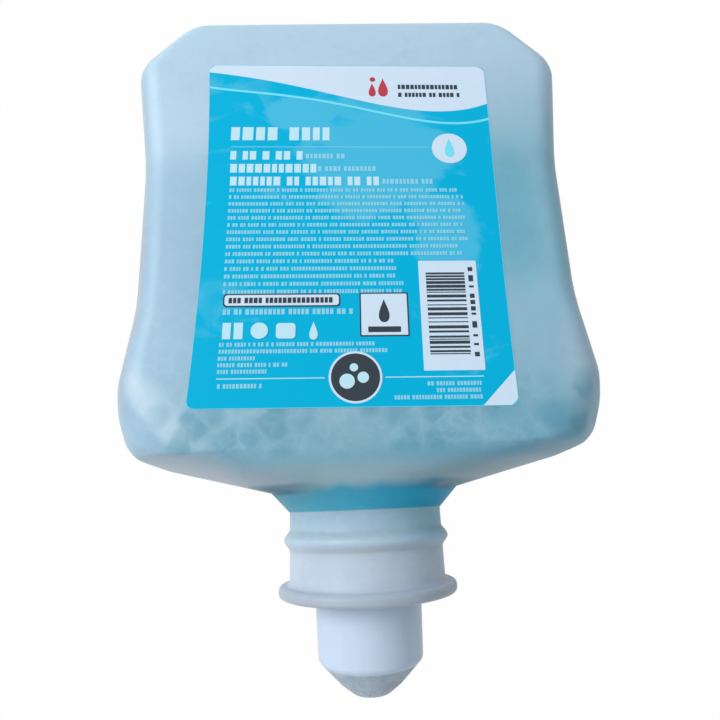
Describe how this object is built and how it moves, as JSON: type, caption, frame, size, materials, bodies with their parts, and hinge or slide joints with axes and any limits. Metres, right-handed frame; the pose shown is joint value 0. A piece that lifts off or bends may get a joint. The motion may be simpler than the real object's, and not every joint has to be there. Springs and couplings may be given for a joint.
{
  "type": "hand soap refill pack",
  "caption": "Box-shaped translucent soap bottle lying on its back, label up, with a ringed neck, a sprung foam pump inside it and a white pull-off dust cap.",
  "frame": {"origin": "centre of the object's box, on the surface it lies on", "axes": "+Y from the dust cap to the bottle's closed end, +Z out of the label, +X to the label's right"},
  "size_m": [0.1366, 0.2064, 0.0611],
  "materials": {
    "bottle_plastic": "translucent, milky, satin",
    "soap": "liquid with foam cells",
    "label_print": "printed film, satin",
    "pump_plastic": "natural polypropylene",
    "cap_plastic": "white, satin, rough cone end",
    "seal_rubber": "soft, matt",
    "spring_steel": "bright drawn wire",
    "screen_net": "fine white net"
  },
  "bodies": {
    "pack": {"bottle": "bottle_plastic", "soap_charge": "soap", "front_label": "label_print", "pump_body": "pump_plastic", "neck_seal": "seal_rubber", "liquid_cylinder": "pump_plastic", "inlet_valve": "seal_rubber", "guide_collar": "pump_plastic", "return_spring": "spring_steel"},
    "plunger": {"piston_stem": "pump_plastic", "liquid_piston": "seal_rubber", "air_piston": "pump_plastic", "air_valve": "seal_rubber", "outlet_valve": "seal_rubber", "nozzle": "cap_plastic", "screen_sleeve": "cap_plastic", "fine_screen": "screen_net", "coarse_screen": "screen_net"},
    "cap": {"dust_cap": "cap_plastic"}
  },
  "joints": [
    {"name": "plunger_push", "type": "slide", "parent": "pack", "child": "plunger", "axis": [0, 1, 0], "range_m": [0, 0.008], "stiffness_N_per_m": 500, "springref_m": -0.008, "deforming": ["return_spring"]},
    {"name": "cap_pull", "type": "slide", "parent": "pack", "child": "cap", "axis": [0, -1, 0], "range_m": [0, 0.03]}
  ]
}
